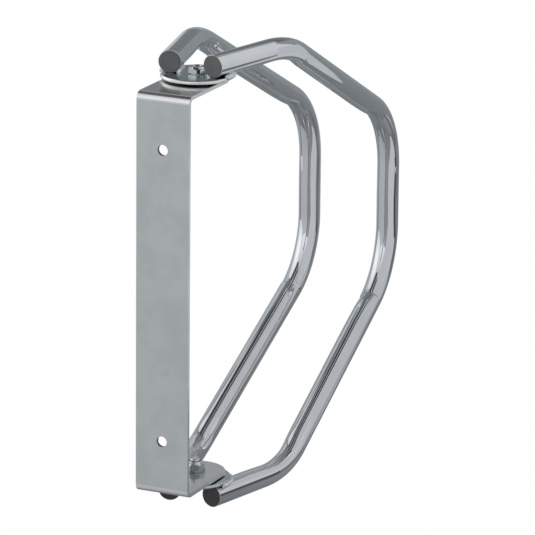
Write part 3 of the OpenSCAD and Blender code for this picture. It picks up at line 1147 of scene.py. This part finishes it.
# How far the picture's middle is from that aim, in the camera's own directions
CAMERA_SHIFT = Vector((0.054, 0.015, 0))
turn = math.radians(CAMERA_TURN)
rise = math.radians(CAMERA_RISE)
backward = Vector((math.sin(turn) * math.cos(rise), -math.cos(turn) * math.cos(rise), math.sin(rise)))
camera_turned = backward.to_track_quat('Z', 'Y') @ Quaternion((0, 0, 1), math.radians(CAMERA_ROLL))
aim = CAMERA_AIM + camera_turned @ CAMERA_SHIFT
bpy.ops.object.camera_add(location=aim + backward * CAMERA_REACH, rotation=camera_turned.to_euler())
camera = bpy.context.active_object
camera.name = "camera"
camera.data.lens = CAMERA_LENS
camera.data.sensor_width = 36
camera.data.clip_end = 50
bpy.context.scene.camera = camera


# Studio: a pale floor, a white backdrop, and a grey room, soft box and panels that show only in reflections

STUDIO_MIDDLE = Vector((0, -0.18, 0))
ROOM_R = 5
FLOOR_R = 0.62
FLOOR_T = 0.01
FLOOR_EDGE = 0.002
FLOOR_MIDDLE = (0, -0.17, -0.52)
WHITE = (1, 1, 1, 1)
PANEL_TINT = (0.985, 1.0, 1.03, 1)


def glow(name):
    """A material that only gives off light, with its node tree and its emission node."""
    material, tree, surface = new_material(name)
    tree.nodes.remove(surface)
    light = add(tree, 'ShaderNodeEmission', 0, 0)
    tree.links.new(light.outputs[0], tree.nodes["Material Output"].inputs["Surface"])
    return material, tree, light


def stage_for_metal(piece, material):
    """Only reflections show the piece, and it throws no shadow."""
    piece.data.materials.append(material)
    piece.visible_camera = False
    piece.visible_diffuse = False
    piece.visible_shadow = False


def card(name, azimuth, elevation, wide, high, reach, upper, lower, soft=False):
    """A soft box or grey panel, by its direction and size as seen from the rack, in degrees, and how far
    away it is. Azimuth 0 is +Y and 90 is +X. Its brightness runs from upper to lower, or, where soft, from
    upper in its middle to lower round it."""
    clear_selection()
    a = math.radians(azimuth)
    e = math.radians(elevation)
    direction = Vector((math.sin(a) * math.cos(e), math.cos(a) * math.cos(e), math.sin(e)))
    bpy.ops.mesh.primitive_plane_add(
        size=1, location=STUDIO_MIDDLE + direction * reach,
        rotation=(-direction).to_track_quat('Z', 'Y').to_euler())
    sheet = bpy.context.active_object
    sheet.name = name
    sizes = [2 * reach * math.tan(math.radians(degrees / 2)) for degrees in (wide, high)]
    sheet.scale = (*sizes, 1)
    material, tree, light = glow(name)
    set_inputs(light, {"Color": WHITE if soft else PANEL_TINT})
    place = add(tree, 'ShaderNodeTexCoord', -900, 0)
    level = add(tree, 'ShaderNodeMapRange', -250, 0, {"To Min": lower, "To Max": upper})
    if soft:
        level.interpolation_type = 'SMOOTHSTEP'
        wider = add(tree, 'ShaderNodeMapping', -700, 0, {"Scale": (1.45, 1.45, 1.45)})
        fade = add(tree, 'ShaderNodeTexGradient', -500, 0, gradient_type='SPHERICAL')
        link(tree, place, "Object", wider, "Vector")
        link(tree, wider, 0, fade, "Vector")
        link(tree, fade, "Fac", level, "Value")
    else:
        set_inputs(level, {"From Min": -0.5, "From Max": 0.5})
        parts = add(tree, 'ShaderNodeSeparateXYZ', -500, 0)
        link(tree, place, "Object", parts, 0)
        link(tree, parts, "Y", level, "Value")
    link(tree, level, 0, light, "Strength")
    stage_for_metal(sheet, material)


card("right_soft_box", 80, 25, 60, 75, 0.75, 1.15, 0.65, soft=True)
card("left_wall", -70, 10, 75, 120, 0.55, 0.55, 0.60)
card("left_strip", -115, 10, 15, 40, 0.55, 0.65, 0.60)
card("left_panel", -135, 15, 35, 40, 0.40, 0.55, 0.55)
card("upper_left_panel", -95, 60, 40, 35, 3.20, 0.55, 0.55)
card("left_dark_bar", -115, -15, 50, 10, 3.20, 0.05, 0.35)
card("left_dark_flag", -110, -10, 20, 15, 0.70, 0.10, 0.05)
card("left_dark_ground", -90, -55, 120, 120, 2.40, 0.15, 0.20)
card("dark_post", -160, -20, 20, 105, 0.40, 0.30, 0.15)
card("tall_strip", -155, -5, 15, 55, 3.00, 1.20, 0.45)
card("low_pale_panel", -145, -40, 30, 35, 3.20, 0.60, 0.50)
card("low_dark_panel", -155, -50, 60, 35, 0.45, 0.30, 0.20)
card("far_panel", -170, 25, 45, 60, 0.50, 0.30, 0.30)
card("far_shelf", 165, 45, 50, 30, 0.50, 0.15, 0.25)
card("far_wall", 150, 20, 115, 75, 1.00, 0.35, 0.40)
card("far_dark_ceiling", 125, 55, 70, 120, 3.00, 0.05, 0.10)
card("far_dark_strip", 125, 30, 20, 85, 1.15, 0.02, 0.50)
card("right_strip", 130, 0, 20, 65, 0.40, 0.60, 0.35)
card("low_right_wall", 40, -25, 95, 80, 0.75, 0.55, 0.40)
card("low_near_wall", -35, -30, 75, 100, 0.75, 0.35, 0.20)


def make_room():
    """A round grey room that gets lighter upwards, and lighter again far behind the wall."""
    clear_selection()
    bpy.ops.mesh.primitive_uv_sphere_add(segments=48, ring_count=24, radius=ROOM_R, location=STUDIO_MIDDLE)
    room = bpy.context.active_object
    room.name = "grey_room"
    material, tree, light = glow("room grey")
    place = add(tree, 'ShaderNodeTexCoord', -900, 0)
    parts = add(tree, 'ShaderNodeSeparateXYZ', -700, 0)
    height = add(tree, 'ShaderNodeMapRange', -500, 150,
                 {"From Min": -1.6, "From Max": 1.6, "To Min": 0.30, "To Max": 0.90})
    depth = add(tree, 'ShaderNodeMapRange', -500, -150,
                {"From Min": 2.5, "From Max": 4.5, "To Min": 0.75, "To Max": 1.0})
    level = add(tree, 'ShaderNodeMath', -250, 0, operation='MULTIPLY')
    link(tree, place, "Object", parts, 0)
    link(tree, parts, "Z", height, "Value")
    link(tree, parts, "Y", depth, "Value")
    link(tree, height, 0, level, 0)
    link(tree, depth, 0, level, 1)
    link(tree, level, 0, light, "Strength")
    room.visible_transmission = False
    stage_for_metal(room, material)


def floor_material(name, shade):
    material, tree, surface = new_material(name)
    set_inputs(surface, {"Roughness": 0.6})
    place = add(tree, 'ShaderNodeTexCoord', -900, 0)
    patch = shade * 0.97
    patchy = place_group(tree, clouds, -600, 0, Patches_per_metre=6.0, Colour=(shade, shade, shade, 1),
                         Patch_colour=(patch, patch, patch, 1), Strength=0.5)
    link(tree, place, "Object", patchy, "Vector")
    link(tree, patchy, "Colour", surface, "Base Color")
    return material


make_room()

floor = cylinder("floor", FLOOR_R, FLOOR_T, FLOOR_MIDDLE, 128)
round_edges(floor, FLOOR_EDGE, 40, 3)
smooth(floor, 30)
floor.data.materials.append(floor_material("pale floor", 0.74))
floor.visible_glossy = False

for name, place, power, size in (
        ("key_lamp", (1.9, 0.7, 1.6), 26, 1.4),
        ("fill_lamp", (-1.8, 0.9, 1.7), 14, 1.6)):
    bpy.ops.object.light_add(type='AREA', location=place)
    lamp = bpy.context.active_object
    lamp.name = name
    lamp.data.energy = power
    lamp.data.size = size
    lamp.rotation_euler = (Vector(place) - STUDIO_MIDDLE).to_track_quat('Z', 'Y').to_euler()
    lamp.visible_camera = False
    lamp.visible_glossy = False

world = bpy.context.scene.world or bpy.data.worlds.new("studio")
bpy.context.scene.world = world
world.use_nodes = True
tree = world.node_tree
for node in list(tree.nodes):
    tree.nodes.remove(node)
out = add(tree, 'ShaderNodeOutputWorld', 600, 0)
soft_light = add(tree, 'ShaderNodeBackground', 0, 150, {"Color": (0.97, 0.98, 1.0, 1), "Strength": 0.62})
backdrop = add(tree, 'ShaderNodeBackground', 0, -150, {"Color": (1, 1, 1, 1), "Strength": 1.0})
ray = add(tree, 'ShaderNodeLightPath', -600, 300)
seen = add(tree, 'ShaderNodeMath', -350, 300, operation='ADD')
any_seen = add(tree, 'ShaderNodeMath', -150, 300, operation='ADD', use_clamp=True)
choose = add(tree, 'ShaderNodeMixShader', 350, 0)
link(tree, ray, "Is Camera Ray", seen, 0)
link(tree, ray, "Is Glossy Ray", seen, 1)
link(tree, seen, 0, any_seen, 0)
link(tree, ray, "Is Transmission Ray", any_seen, 1)
link(tree, any_seen, 0, choose, 0)
link(tree, soft_light, 0, choose, 1)
link(tree, backdrop, 0, choose, 2)
link(tree, choose, 0, out, "Surface")

bpy.context.scene.view_settings.view_transform = 'Standard'
